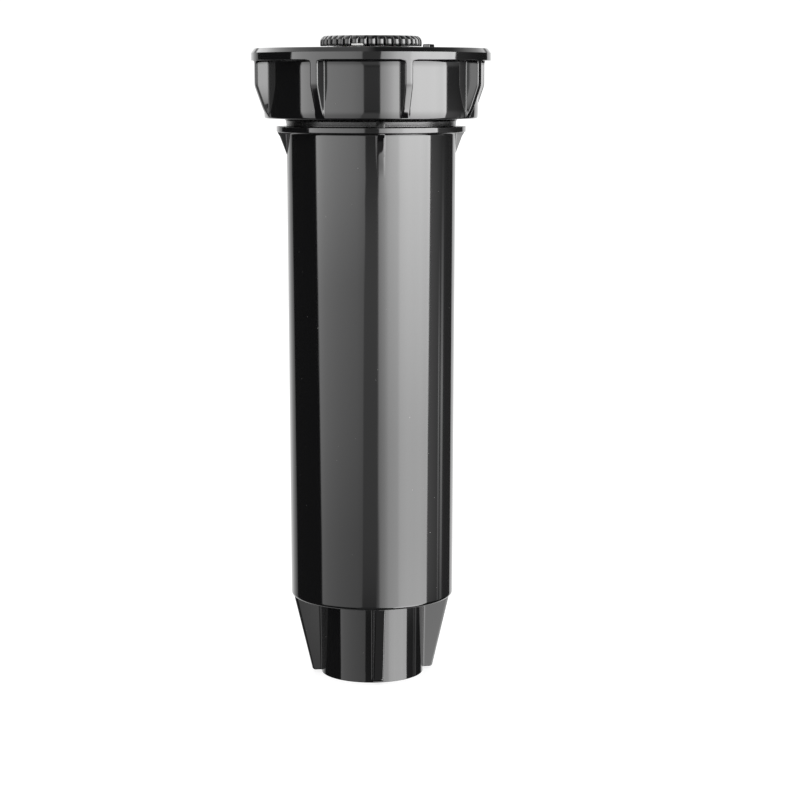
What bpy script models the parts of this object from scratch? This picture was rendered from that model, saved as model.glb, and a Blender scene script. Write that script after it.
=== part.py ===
"""Pop-up spray sprinkler: case, screw cap, spring-loaded riser, and an adjustable-arc nozzle.

Run with: blender --background --python part.py
The origin is the centre of the inlet's bottom face and +Z runs up the riser. Outlines are in millimetres.
"""

import math

import bmesh
import bpy
from mathutils import Matrix, Vector

MM = 0.001
GAP = 0.15  # left between faces that rest on each other
FULL_TURN = 2 * math.pi

# How many flat sides stand for a full circle.
CASE_SIDES = 32
BORE_SIDES = 24
SMALL_SIDES = 20

# The case: a tapered tube on a threaded inlet boss.
CASE_FOOT_R, CASE_HEAD_R = 19.75, 20.25
CASE_WALL = 1.8
CASE_LEDGE_Z, CASE_FLOOR_Z, CASE_RIM_Z = 19.5, 21.3, 147.0
BOSS_R = 12.55
SHOULDER_R, SHOULDER_Z, SHOULDER_THICK = 22.65, 132.1, 1.4
NECK_R = 20.35
BUSH_STEP_Z, BUSH_SEAT_R = 138.3, 19.0
FIN_COUNT, FIN_THICK = 4, 2.2

# Threads: the half-inch pipe socket, the cap, and the nozzle.
INLET_MID_R, INLET_PITCH, INLET_DEPTH = 9.9, 1.814, 0.58
CAP_THREAD_R, CAP_PITCH, CAP_DEPTH = 21.55, 3.6, 0.6
CAP_THREAD_Z = (136.4, 146.3)
NOZZLE_THREAD_R, NOZZLE_PITCH, NOZZLE_DEPTH = 7.6, 1.6, 0.3
NOZZLE_THREAD_Z = (140.9, 144.9)
THREAD_CLEARANCE = 0.42

# The cap.
LIP_R, SKIRT_R = 28.56, 25.55
LIP_Z, SKIRT_Z, CAP_TOP_Z = 148.9, 135.4, 151.95
GRIP_COUNT, GRIP_R, GRIP_THICK, GRIP_CORNER_Z = 8, 28.5, 2.0, 143.0
GRIP_START = math.radians(11.65 - 90)
CAP_HOLE_R, CAP_ROOF_Z = 14.5, 149.2
MARK_ANGLE = math.radians(-35)

# The riser and what it carries.
STEM_R, STEM_BORE_R, STEM_TOP_Z, STEM_FOOT_Z = 9.0, 7.2, 145.5, 21.6
FLANGE_R, FLANGE_THICK = 15.8, 2.0
RATCHET_TEETH, TOOTH_HEIGHT = 16, 0.45
KEY_COUNT, KEY_WIDTH, KEY_R = 4, 1.6, 16.5
RATCHET_WEB_Z, RATCHET_TOP_Z = 24.6, 29.4
TRAVEL = 97.0

# The retract spring.
SPRING_R, WIRE_R = 12.3, 0.55
SPRING_TURNS, END_TURNS = 12, 1
SPRING_Z = (26.9, 137.6)

# The nozzle.
COLLAR_R, COLLAR_VALLEY_R, COLLAR_TEETH = 12.1, 11.5, 36
COLLAR_Z, COLLAR_TOP_Z = 152.35, 154.75
INDEX_ANGLE = math.radians(-111.6)
STOP_WIDTH, STOP_START = 1.6, math.radians(15)
STOP_ANGLE = math.radians(100)
SCREW_R, SCREW_BORE_R = 1.15, 1.4
PLUG_FOOT_Z = 142.4
SCREW_FOOT_Z = 141.7
CLIP_Z, CLIP_THICK = 145.95, 0.3

# Finishes: colour, roughness, metallic.
BLACK_PLASTIC = ((0.012, 0.012, 0.013), 0.18, 0.0)
PALE_ACETAL = ((0.72, 0.72, 0.70), 0.35, 0.0)
BLACK_RUBBER = ((0.02, 0.02, 0.02), 0.6, 0.0)
STAINLESS_STEEL = ((0.6, 0.6, 0.6), 0.25, 1.0)


# ---------------------------------------------------------------- tools


def clear_scene():
    for obj in list(bpy.data.objects):
        bpy.data.objects.remove(obj)


def new_collection(name):
    found = bpy.data.collections.new(name)
    bpy.context.scene.collection.children.link(found)
    return found


def new_material(name, finish):
    colour, roughness, metallic = finish
    made = bpy.data.materials.new(name)
    made.use_nodes = True
    shader = made.node_tree.nodes["Principled BSDF"]
    shader.inputs["Base Color"].default_value = (*colour, 1.0)
    shader.inputs["Roughness"].default_value = roughness
    shader.inputs["Metallic"].default_value = metallic
    made.diffuse_color = (*colour, 1.0)
    return made


def new_object(name, data, collection):
    obj = bpy.data.objects.new(name, data)
    collection.objects.link(obj)
    return obj


def turned(name, outline, sides, collection):
    """A turned solid. The outline of (radius, height) points runs down the outer side, top to bottom."""
    count = len(outline)
    edges = [(i, i + 1) for i in range(count - 1)]
    if outline[0][0] > 0:
        edges.append((count - 1, 0))
    mesh = bpy.data.meshes.new(name)
    mesh.from_pydata([(r * MM, 0, z * MM) for r, z in outline], edges, [])
    obj = new_object(name, mesh, collection)
    turn = obj.modifiers.new("Turn", "SCREW")
    turn.steps = turn.render_steps = sides
    turn.use_merge_vertices = True
    turn.merge_threshold = 0.00001
    return obj


def evaluated_mesh(obj):
    bpy.context.view_layer.update()
    graph = bpy.context.evaluated_depsgraph_get()
    return bpy.data.meshes.new_from_object(obj.evaluated_get(graph))


def freeze(obj):
    """Turns the object's modifiers into plain mesh, so that its points can be moved."""
    mesh = evaluated_mesh(obj)
    obj.modifiers.clear()
    obj.data = mesh
    return obj


def helper(obj):
    """Marks a shape that only cuts or joins another."""
    obj.hide_render = True
    obj.display_type = "WIRE"
    return obj


def combine(obj, other, operation):
    step = obj.modifiers.new(other.name, "BOOLEAN")
    step.operation = operation
    step.object = helper(other)


def plate_mesh(outline, thickness):
    """A flat plate standing in the XZ plane, from (radius, height) points, centred on its thickness."""
    curve = bpy.data.curves.new("plate", "CURVE")
    curve.dimensions = "2D"
    curve.fill_mode = "BOTH"
    curve.extrude = thickness * MM / 2
    spline = curve.splines.new("POLY")
    spline.points.add(len(outline) - 1)
    spline.use_cyclic_u = True
    for point, (r, z) in zip(spline.points, outline):
        point.co = (r * MM, z * MM, 0, 1)
    flat = new_object("plate", curve, bpy.context.scene.collection)
    mesh = evaluated_mesh(flat)
    bpy.data.objects.remove(flat)
    mesh.transform(Matrix.Rotation(math.pi / 2, 4, "X"))
    return mesh


def around(name, meshes, angles, collection):
    """One object that holds each mesh once at every angle about Z."""
    made = bmesh.new()
    for mesh in meshes:
        for angle in angles:
            turned_copy = mesh.copy()
            turned_copy.transform(Matrix.Rotation(angle, 4, "Z"))
            made.from_mesh(turned_copy)
    bmesh.ops.remove_doubles(made, verts=made.verts, dist=1e-7)
    bmesh.ops.recalc_face_normals(made, faces=made.faces)
    joined = bpy.data.meshes.new(name)
    made.to_mesh(joined)
    made.free()
    return new_object(name, joined, collection)


def evenly(count, start=0.0):
    return [start + FULL_TURN * i / count for i in range(count)]


def box_outline(r_low, r_high, z_low, z_high):
    return [(r_low, z_low), (r_high, z_low), (r_high, z_high), (r_low, z_high)]


def thread_rows(radius, z_from, z_to, pitch):
    """Points down or up a threaded wall, four to each pitch."""
    rows = round(abs(z_to - z_from) / pitch * 4)
    return [(radius, z_from + (z_to - z_from) * i / rows) for i in range(rows + 1)]


def wind_thread(obj, radius, pitch, depth, z_range):
    """Pushes a plain round wall in and out along a right-hand helix, fading at both ends."""
    low, high = z_range
    for vertex in obj.data.vertices:
        x, y, z = (value / MM for value in vertex.co)
        if abs(math.hypot(x, y) - radius) > 0.02 or not low - 0.01 <= z <= high + 0.01:
            continue
        turn = z / pitch - math.atan2(y, x) / FULL_TURN
        fade = max(0.0, min(1.0, 2 * (z - low) / pitch, 2 * (high - z) / pitch))
        push = depth * fade * math.cos(FULL_TURN * turn) / radius
        vertex.co.x *= 1 + push
        vertex.co.y *= 1 + push


def crown(name, r_low, r_high, z_root, z_tip, z_back, collection):
    """A ring of ratchet teeth. Its back is buried in the piece it belongs to."""
    top, bottom = max(z_root, z_back), min(z_root, z_back)
    outline = [(r_high, top), (r_high, bottom), (r_low, bottom), (r_low, top)]
    ring = freeze(turned(name, outline, 2 * RATCHET_TEETH, collection))
    step = FULL_TURN / (2 * RATCHET_TEETH)
    for vertex in ring.data.vertices:
        position = round(math.atan2(vertex.co.y, vertex.co.x) / step)
        if position % 2 and abs(vertex.co.z - z_root * MM) < 1e-6:
            vertex.co.z = z_tip * MM
    return ring


def o_ring(name, ring_r, wire_r, z, collection):
    """A rubber O-ring, lying flat."""
    bpy.ops.mesh.primitive_torus_add(
        major_segments=BORE_SIDES,
        minor_segments=6,
        major_radius=ring_r * MM,
        minor_radius=wire_r * MM,
        location=(0, 0, z * MM),
    )
    ring = bpy.context.active_object
    ring.name = name
    for owner in list(ring.users_collection):
        owner.objects.unlink(ring)
    collection.objects.link(ring)
    return ring


def cylinders(name, radius, z_low, z_high, ring_r, angles, sides, collection):
    """Round cutters that stand in a ring."""
    made = bmesh.new()
    for angle in angles:
        centre = Vector((math.cos(angle) * ring_r, math.sin(angle) * ring_r, (z_low + z_high) / 2)) * MM
        bmesh.ops.create_cone(
            made,
            cap_ends=True,
            segments=sides,
            radius1=radius * MM,
            radius2=radius * MM,
            depth=(z_high - z_low) * MM,
            matrix=Matrix.Translation(centre),
        )
    mesh = bpy.data.meshes.new(name)
    made.to_mesh(mesh)
    made.free()
    return new_object(name, mesh, collection)


def dress(obj, finish, frame):
    """Gives a piece its own material and shading, and fixes it to its frame where it stands."""
    obj.data.materials.clear()
    obj.data.materials.append(new_material(obj.name + "_finish", finish))
    if obj.type == "MESH":
        obj.data.shade_smooth()
        obj.data.set_sharp_from_angle(angle=math.radians(35))
    obj.parent = frame
    obj.matrix_parent_inverse = frame.matrix_world.inverted()


# ---------------------------------------------------------------- the fixed housing


def make_case(parts, tools):
    """The moulded case: threaded inlet, valve seat, body tube, shoulder ring and the cap's male thread."""
    foot_bore, head_bore = CASE_FOOT_R - CASE_WALL, CASE_HEAD_R - CASE_WALL - GAP
    inlet_top = 1.2 + 5.5 * INLET_PITCH
    outline = [(20.6, CASE_RIM_Z), (20.95, 146.65)]
    outline += thread_rows(CAP_THREAD_R, CAP_THREAD_Z[1], CAP_THREAD_Z[0], CAP_PITCH)
    outline += [
        (NECK_R, 135.9),
        (NECK_R, SHOULDER_Z + SHOULDER_THICK),
        (SHOULDER_R - 0.15, SHOULDER_Z + SHOULDER_THICK),
        (SHOULDER_R, SHOULDER_Z + SHOULDER_THICK - 0.15),
        (SHOULDER_R, SHOULDER_Z),
        (CASE_HEAD_R, SHOULDER_Z),
        (CASE_FOOT_R, CASE_LEDGE_Z + 0.8),
        (CASE_FOOT_R - 0.25, CASE_LEDGE_Z + 0.25),
        (CASE_FOOT_R - 0.8, CASE_LEDGE_Z),
        (BOSS_R + 0.15, CASE_LEDGE_Z),
        (BOSS_R, 0.3),
        (BOSS_R - 0.3, 0.0),
        (10.95, 0.0),
        (INLET_MID_R, 1.0),
    ]
    outline += thread_rows(INLET_MID_R, 1.2, inlet_top, INLET_PITCH)
    outline += [
        (10.45, inlet_top + 0.4),
        (10.45, 13.2),
        (6.5, 13.2),
        (6.5, 15.4),
        (7.6, 15.4),
        (7.9, 15.0),
        (10.3, 15.0),
        (10.3, CASE_FLOOR_Z),
        (foot_bore, CASE_FLOOR_Z),
        (head_bore, BUSH_STEP_Z),
        (BUSH_SEAT_R, BUSH_STEP_Z),
        (BUSH_SEAT_R, CASE_RIM_Z),
    ]
    case = freeze(turned("case", outline, CASE_SIDES, parts))
    wind_thread(case, CAP_THREAD_R, CAP_PITCH, CAP_DEPTH, CAP_THREAD_Z)
    wind_thread(case, INLET_MID_R, INLET_PITCH, INLET_DEPTH, (1.2, inlet_top))

    fin_top = CASE_LEDGE_Z + 0.5
    fin = [(11.9, 0.65), (14.1, 0.65), (14.7, 1.3), (18.95, CASE_LEDGE_Z), (18.95, fin_top), (11.9, fin_top)]
    gusset = [(19.5, 128.0), (20.1, 128.0), (22.4, 131.9), (22.4, 132.6), (19.5, 132.6)]
    plates = [plate_mesh(fin, FIN_THICK), plate_mesh(gusset, 1.65)]
    fins = around("case_fins", plates, evenly(FIN_COUNT), tools)
    combine(case, fins, "UNION")

    stop = [(19.8, 133.0), (22.4, 133.0), (22.4, 135.0), (19.8, 135.0)]
    lug = around("case_stop_lug", [plate_mesh(stop, 1.9)], [-math.pi / 2], tools)
    combine(case, lug, "UNION")

    key = box_outline(KEY_R, CASE_FOOT_R - 0.9, 23.5, RATCHET_TOP_Z + TRAVEL + 1.1)
    keys = around("case_keys", [plate_mesh(key, KEY_WIDTH)], evenly(KEY_COUNT, math.pi / 4), tools)
    combine(case, keys, "UNION")
    return case


def make_cap(parts, tools):
    """The screw cap: domed roof, overhanging lip, grip ribs, and a ring that holds the wiper seal down."""
    bore = CAP_THREAD_R + THREAD_CLEARANCE
    outline = [
        (CAP_HOLE_R, CAP_TOP_Z),
        (27.75, 151.8),
        (LIP_R, 150.75),
        (LIP_R, LIP_Z),
        (SKIRT_R, LIP_Z),
        (SKIRT_R, SKIRT_Z + 0.3),
        (SKIRT_R - 0.3, SKIRT_Z),
        (22.95, SKIRT_Z),
    ]
    outline += thread_rows(bore, *CAP_THREAD_Z, CAP_PITCH)
    outline += [
        (22.9, 146.8),
        (22.9, CAP_ROOF_Z),
        (16.6, CAP_ROOF_Z),
        (16.6, 142.6 + GAP),
        (15.2, 142.6 + GAP),
        (15.2, CAP_ROOF_Z),
        (CAP_HOLE_R, CAP_ROOF_Z),
    ]
    cap = freeze(turned("cap", outline, CASE_SIDES, parts))
    wind_thread(cap, bore, CAP_PITCH, CAP_DEPTH, CAP_THREAD_Z)
    grip = [
        (24.4, SKIRT_Z + 0.25),
        (SKIRT_R - 0.1, SKIRT_Z + 0.25),
        (GRIP_R, GRIP_CORNER_Z),
        (GRIP_R, LIP_Z + 0.4),
        (24.4, LIP_Z + 0.4),
    ]
    grips = around("cap_grips", [plate_mesh(grip, GRIP_THICK)], evenly(GRIP_COUNT, GRIP_START), tools)
    combine(cap, grips, "UNION")
    mark = plate_mesh(box_outline(15.0, 16.8, 151.0, 152.75), 2.5)
    combine(cap, around("cap_mark", [mark], [MARK_ANGLE], tools), "UNION")
    return cap


def make_wiper_seal(parts):
    """The rubber seal: a clamped flange, a lip that wipes the stem, and a ring flush with the cap."""
    outline = [
        (14.0, 151.9),
        (14.2, 151.7),
        (14.2, 142.6),
        (18.7, 142.6),
        (18.7, 141.0 + GAP),
        (9.6, 141.0 + GAP),
        (9.25, 141.75),
        (9.6, 142.6),
        (12.8, 142.6),
        (12.8, 150.5),
        (9.9, 150.5),
        (9.9, 151.7),
        (10.1, 151.9),
    ]
    return turned("wiper_seal", outline, BORE_SIDES, parts)


def make_guide_bush(parts):
    """The bush that guides the stem and takes the top of the spring."""
    outline = [
        (18.7, 141.0),
        (18.7, BUSH_STEP_Z + GAP),
        (10.9, BUSH_STEP_Z + GAP),
        (10.9, 133.5),
        (9.4, 133.5),
        (9.4, 141.0),
    ]
    return turned("guide_bush", outline, BORE_SIDES, parts)


def make_retract_spring(parts):
    """A compression spring with closed ends. It runs from the ratchet ring up to the guide bush."""
    points_per_turn = 10
    low, high = SPRING_Z
    end_pitch = 2 * WIRE_R + 0.15
    open_turns = SPRING_TURNS - 2 * END_TURNS
    open_pitch = (high - low - 2 * END_TURNS * end_pitch) / open_turns

    def height(turn):
        if turn <= END_TURNS:
            return low + end_pitch * turn
        if turn >= SPRING_TURNS - END_TURNS:
            return high - end_pitch * (SPRING_TURNS - turn)
        return low + end_pitch * END_TURNS + open_pitch * (turn - END_TURNS)

    curve = bpy.data.curves.new("retract_spring", "CURVE")
    curve.dimensions = "3D"
    curve.bevel_depth = WIRE_R * MM
    curve.bevel_resolution = 1
    curve.use_fill_caps = True
    spline = curve.splines.new("POLY")
    count = SPRING_TURNS * points_per_turn + 1
    spline.points.add(count - 1)
    for i, point in enumerate(spline.points):
        turn = i / points_per_turn
        angle = FULL_TURN * turn
        place = Vector((math.cos(angle) * SPRING_R, math.sin(angle) * SPRING_R, height(turn))) * MM
        point.co = (*place, 1)
    return new_object("retract_spring", curve, parts)


# ---------------------------------------------------------------- the riser


def make_ratchet_ring(parts, tools):
    """Slides on the case's four keys, so that it can't turn, and its teeth face the stem's flange."""
    outline = [
        (17.4, RATCHET_TOP_Z),
        (17.4, RATCHET_WEB_Z),
        (9.4, RATCHET_WEB_Z),
        (9.4, 28.0),
        (10.6, 28.0),
        (10.6, 26.2),
        (15.9, 26.2),
        (15.9, RATCHET_TOP_Z),
    ]
    ring = turned("ratchet_ring", outline, BORE_SIDES, parts)
    tip = STEM_FOOT_Z + FLANGE_THICK + TOOTH_HEIGHT + GAP
    teeth = crown("ratchet_ring_teeth", 12.5, 15.5, RATCHET_WEB_Z, tip, RATCHET_WEB_Z + 0.6, tools)
    combine(ring, teeth, "UNION")
    slot = plate_mesh(box_outline(KEY_R - 0.35, 19.0, 23.0, 31.0), KEY_WIDTH + 0.8)
    slots = around("ratchet_ring_slots", [slot], evenly(KEY_COUNT, math.pi / 4), tools)
    combine(ring, slots, "DIFFERENCE")
    return ring


def make_riser_stem(parts, tools):
    """The tube that pops up: a toothed flange at its foot and the nozzle's male thread at its top."""
    flange_top = STEM_FOOT_Z + FLANGE_THICK
    outline = [(7.3, STEM_TOP_Z)]
    outline += thread_rows(NOZZLE_THREAD_R, NOZZLE_THREAD_Z[1], NOZZLE_THREAD_Z[0], NOZZLE_PITCH)
    outline += [
        (7.3, 140.5),
        (7.3, 139.1),
        (STEM_R, 139.1),
        (STEM_R, flange_top),
        (FLANGE_R, flange_top),
        (FLANGE_R, STEM_FOOT_Z),
        (STEM_BORE_R, STEM_FOOT_Z),
        (STEM_BORE_R, 137.0),
        (6.3, 138.0),
        (6.3, STEM_TOP_Z),
    ]
    stem = freeze(turned("riser_stem", outline, BORE_SIDES, parts))
    wind_thread(stem, NOZZLE_THREAD_R, NOZZLE_PITCH, NOZZLE_DEPTH, NOZZLE_THREAD_Z)
    teeth = crown("riser_stem_teeth", 12.5, 15.5, flange_top - 0.05, flange_top + TOOTH_HEIGHT, 22.6, tools)
    combine(stem, teeth, "UNION")
    return stem


def make_valve_carrier(parts, tools):
    """Snaps into the stem's foot and hangs the valve washer below it on three legs."""
    disc = [(8.0, 18.3), (8.0, 17.15), (0.95, 17.15), (0.95, 18.9), (2.2, 18.9), (2.2, 18.3)]
    carrier = turned("valve_carrier", disc, BORE_SIDES, parts)
    ring = [(7.0, 26.0), (7.0, 22.0), (5.6, 22.0), (5.6, 26.0)]
    combine(carrier, turned("valve_carrier_ring", ring, BORE_SIDES, tools), "UNION")
    leg = plate_mesh(box_outline(5.7, 6.8, 17.6, 22.8), 2.5)
    combine(carrier, around("valve_carrier_legs", [leg], evenly(3), tools), "UNION")
    return carrier


def make_valve_washer(parts):
    """The rubber washer that closes on the inlet seat, so that the pipe doesn't drain."""
    outline = [(8.6, 17.0), (8.6, 15.7), (1.05, 15.7), (1.05, 17.0)]
    return turned("valve_washer", outline, BORE_SIDES, parts)


def make_valve_screw(parts, tools):
    """The small pan-head screw that holds the washer on its carrier."""
    outline = [(0, 19.4), (0.75, 19.4), (0.75, 15.55), (2.0, 15.55), (1.9, 14.9), (1.2, 14.5), (0, 14.5)]
    screw = turned("valve_screw", outline, SMALL_SIDES, parts)
    blade = plate_mesh(box_outline(-2.5, 2.5, 14.0, 15.0), 0.45)
    combine(screw, around("valve_screw_slot", [blade], [0.0], tools), "DIFFERENCE")
    return screw


# ---------------------------------------------------------------- the nozzle


def make_nozzle_gasket(parts):
    outline = [(7.8, 146.2), (7.8, STEM_TOP_Z + GAP), (6.4, STEM_TOP_Z + GAP), (6.4, 146.2)]
    return turned("nozzle_gasket", outline, BORE_SIDES, parts)


def make_filter_screen(parts, tools):
    """The filter basket that hangs in the top of the stem, clamped by its flange."""
    outline = [
        (0, 120.1),
        (3.8, 120.1),
        (4.7, 146.4),
        (4.9, 147.15),
        (7.8, 147.15),
        (7.8, 146.35),
        (5.4, 146.35),
        (4.6, 119.8),
        (4.2, 119.3),
        (0, 119.3),
    ]
    basket = turned("filter_screen", outline, BORE_SIDES, parts)
    rows = [(121.5, 128.0), (129.2, 135.7), (136.9, 143.4)]
    windows = [plate_mesh(box_outline(2.5, 7.0, low, high), 1.7) for low, high in rows]
    cutter = around("filter_screen_windows", windows, evenly(6), tools)
    combine(basket, cutter, "DIFFERENCE")
    return basket


def make_nozzle_base(parts, tools):
    """Screws onto the stem. Water passes its six holes, and its shoulder carries the arc collar's stop."""
    bore = NOZZLE_THREAD_R + 0.35
    outline = [
        (7.5, 153.1),
        (7.5, 152.05),
        (STEM_R, 152.05),
        (STEM_R, 139.25),
        (8.3, 139.25),
        (8.3, 140.5),
    ]
    outline += thread_rows(bore, *NOZZLE_THREAD_Z, NOZZLE_PITCH)
    outline += [
        (8.1, 145.2),
        (8.1, 147.3),
        (2.75, 147.3),
        (2.75, 148.6),
        (5.5, 148.6),
        (5.5, 153.1),
    ]
    base = freeze(turned("nozzle_base", outline, BORE_SIDES, parts))
    wind_thread(base, bore, NOZZLE_PITCH, NOZZLE_DEPTH, NOZZLE_THREAD_Z)
    ports = cylinders("nozzle_base_ports", 0.5, 146.5, 149.5, 3.8, evenly(6, math.radians(28)), 8, tools)
    combine(base, ports, "DIFFERENCE")
    prong = plate_mesh(box_outline(3.3, 4.25, 141.9, 147.6), 0.9)
    combine(base, around("nozzle_base_prongs", [prong], evenly(2), tools), "UNION")
    lug = plate_mesh(box_outline(7.2, 8.75, 151.8, 152.6), STOP_WIDTH)
    combine(base, around("nozzle_base_stop", [lug], [STOP_ANGLE], tools), "UNION")
    return base


def make_arc_collar(parts, tools):
    """The serrated ring that sets the arc. A tab in its groove meets the base's stop at either end."""
    middle_r = (COLLAR_R + COLLAR_VALLEY_R) / 2
    outline = [
        (11.05, COLLAR_TOP_Z),
        (middle_r, 153.8),
        (middle_r, 152.6),
        (11.4, COLLAR_Z),
        (9.1, COLLAR_Z),
        (9.1, 152.85),
        (7.8, 152.85),
        (7.8, 153.4),
        (10.3, COLLAR_TOP_Z),
    ]
    collar = freeze(turned("arc_collar", outline, 2 * COLLAR_TEETH, parts))
    step = FULL_TURN / (2 * COLLAR_TEETH)
    for vertex in collar.data.vertices:
        if abs(math.hypot(vertex.co.x, vertex.co.y) - middle_r * MM) > 1e-6:
            continue
        crest = round(math.atan2(vertex.co.y, vertex.co.x) / step) % 2 == 0
        scale = (COLLAR_R if crest else COLLAR_VALLEY_R) / middle_r
        vertex.co.x *= scale
        vertex.co.y *= scale
    tab = plate_mesh(box_outline(7.95, 9.4, COLLAR_Z + 0.02, 153.0), STOP_WIDTH)
    combine(collar, around("arc_collar_tab", [tab], [STOP_ANGLE + STOP_START], tools), "UNION")
    notch = plate_mesh(box_outline(8.9, 13.0, 151.5, 152.75), 2.9)
    nick = plate_mesh(box_outline(10.7, 13.0, 154.45, 155.5), 0.8)
    combine(collar, around("arc_collar_index", [notch, nick], [INDEX_ANGLE], tools), "DIFFERENCE")
    return collar


def make_deflector(parts):
    """The disc that turns the water outwards, on a stem that snaps into the base."""
    outline = [
        (2.0, 154.6),
        (9.0, 154.6),
        (9.2, 154.4),
        (6.9, 153.7),
        (3.5, 153.45),
        (3.5, 148.75),
        (2.5, 148.75),
        (2.5, 147.15),
        (3.0, 147.15),
        (3.0, 146.7),
        (2.6, 146.4),
        (SCREW_BORE_R, 146.4),
        (SCREW_BORE_R, 149.6),
        (2.1, 149.6),
        (2.1, 150.5),
        (SCREW_BORE_R, 150.5),
        (SCREW_BORE_R, 153.55),
        (2.0, 153.55),
    ]
    return turned("deflector", outline, BORE_SIDES, parts)


def make_adjust_screw(parts, tools):
    """The steel screw that sets the throw. It turns in the deflector and drives the throttle plug."""
    groove_r = 0.85
    outline = [
        (0, 154.3),
        (1.6, 154.3),
        (1.75, 154.15),
        (1.75, 153.75),
        (SCREW_R, 153.75),
        (SCREW_R, CLIP_Z + CLIP_THICK + GAP),
        (groove_r, CLIP_Z + CLIP_THICK + GAP),
        (groove_r, CLIP_Z - GAP),
        (SCREW_R, CLIP_Z - GAP),
        (SCREW_R, 142.0),
        (0.9, SCREW_FOOT_Z),
        (0, SCREW_FOOT_Z),
    ]
    screw = turned("adjust_screw", outline, SMALL_SIDES, parts)
    blade = plate_mesh(box_outline(-2.5, 2.5, 153.95, 155.0), 0.5)
    combine(screw, around("adjust_screw_slot", [blade], [math.radians(25)], tools), "DIFFERENCE")
    return screw


def make_screw_clip(parts, tools):
    """The open clip in the screw's groove. It holds the screw down against the water's push."""
    top = CLIP_Z + CLIP_THICK
    clip = turned("screw_clip", [(2.2, top), (2.2, CLIP_Z), (1.0, CLIP_Z), (1.0, top)], SMALL_SIDES, parts)
    mouth = plate_mesh(box_outline(0.0, 3.0, CLIP_Z - 1, top + 1), 1.3)
    combine(clip, around("screw_clip_mouth", [mouth], [math.radians(70)], tools), "DIFFERENCE")
    return clip


def make_throttle_plug(parts, tools):
    """Climbs the screw until its rim covers the ports. The base's prongs sit in its notches."""
    outline = [
        (3.9, 144.6),
        (4.3, 144.3),
        (4.3, PLUG_FOOT_Z),
        (SCREW_BORE_R, PLUG_FOOT_Z),
        (SCREW_BORE_R, 143.2),
        (3.2, 143.2),
        (3.2, 144.6),
    ]
    plug = turned("throttle_plug", outline, BORE_SIDES, parts)
    notch = plate_mesh(box_outline(3.0, 5.0, 141.0, 146.0), 1.4)
    combine(plug, around("throttle_plug_notches", [notch], evenly(2), tools), "DIFFERENCE")
    return plug


# ---------------------------------------------------------------- assembly


def body_frame(name, z, parent, collection):
    """An empty on the riser's axis, which every joint shares."""
    frame = new_object(name, None, collection)
    frame.parent = parent
    below = parent.matrix_world.translation.z if parent else 0.0
    frame.location = (0, 0, z * MM - below)
    bpy.context.view_layer.update()
    return frame


def main():
    clear_scene()
    parts = new_collection("pop_up_sprinkler")
    tools = new_collection("cutters")

    housing = body_frame("housing_frame", 0.0, None, parts)
    ratchet = body_frame("ratchet_frame", STEM_FOOT_Z, housing, parts)
    riser = body_frame("riser_frame", STEM_FOOT_Z, ratchet, parts)
    arc_ring = body_frame("arc_ring_frame", COLLAR_Z, riser, parts)
    radius_screw = body_frame("radius_screw_frame", SCREW_FOOT_Z, riser, parts)
    throttle = body_frame("throttle_frame", PLUG_FOOT_Z, riser, parts)

    dress(make_case(parts, tools), BLACK_PLASTIC, housing)
    dress(make_cap(parts, tools), BLACK_PLASTIC, housing)
    dress(make_wiper_seal(parts), BLACK_RUBBER, housing)
    dress(o_ring("cap_oring", 19.8, 0.92, 148.1, parts), BLACK_RUBBER, housing)
    dress(make_guide_bush(parts), PALE_ACETAL, housing)
    dress(make_retract_spring(parts), STAINLESS_STEEL, housing)

    dress(make_ratchet_ring(parts, tools), PALE_ACETAL, ratchet)

    dress(make_riser_stem(parts, tools), BLACK_PLASTIC, riser)
    dress(make_valve_carrier(parts, tools), PALE_ACETAL, riser)
    dress(make_valve_washer(parts), BLACK_RUBBER, riser)
    dress(make_valve_screw(parts, tools), STAINLESS_STEEL, riser)
    dress(make_nozzle_gasket(parts), BLACK_RUBBER, riser)
    dress(make_filter_screen(parts, tools), PALE_ACETAL, riser)
    dress(make_nozzle_base(parts, tools), PALE_ACETAL, riser)
    dress(make_deflector(parts), BLACK_PLASTIC, riser)
    dress(o_ring("screw_oring", 1.62, 0.3, 150.05, parts), BLACK_RUBBER, riser)

    dress(make_arc_collar(parts, tools), BLACK_PLASTIC, arc_ring)
    dress(make_adjust_screw(parts, tools), STAINLESS_STEEL, radius_screw)
    dress(make_screw_clip(parts, tools), STAINLESS_STEEL, radius_screw)
    dress(make_throttle_plug(parts, tools), PALE_ACETAL, throttle)


main()
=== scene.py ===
"""The looks of the pop-up spray sprinkler: fine meshes, materials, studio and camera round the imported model.

Outlines are in millimetres, as (radius, height) points with an optional third value, the corner's
radius. They run down the outer side and up the inner side. Heights that two pieces share come from the
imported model's boxes.
"""

import math

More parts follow.
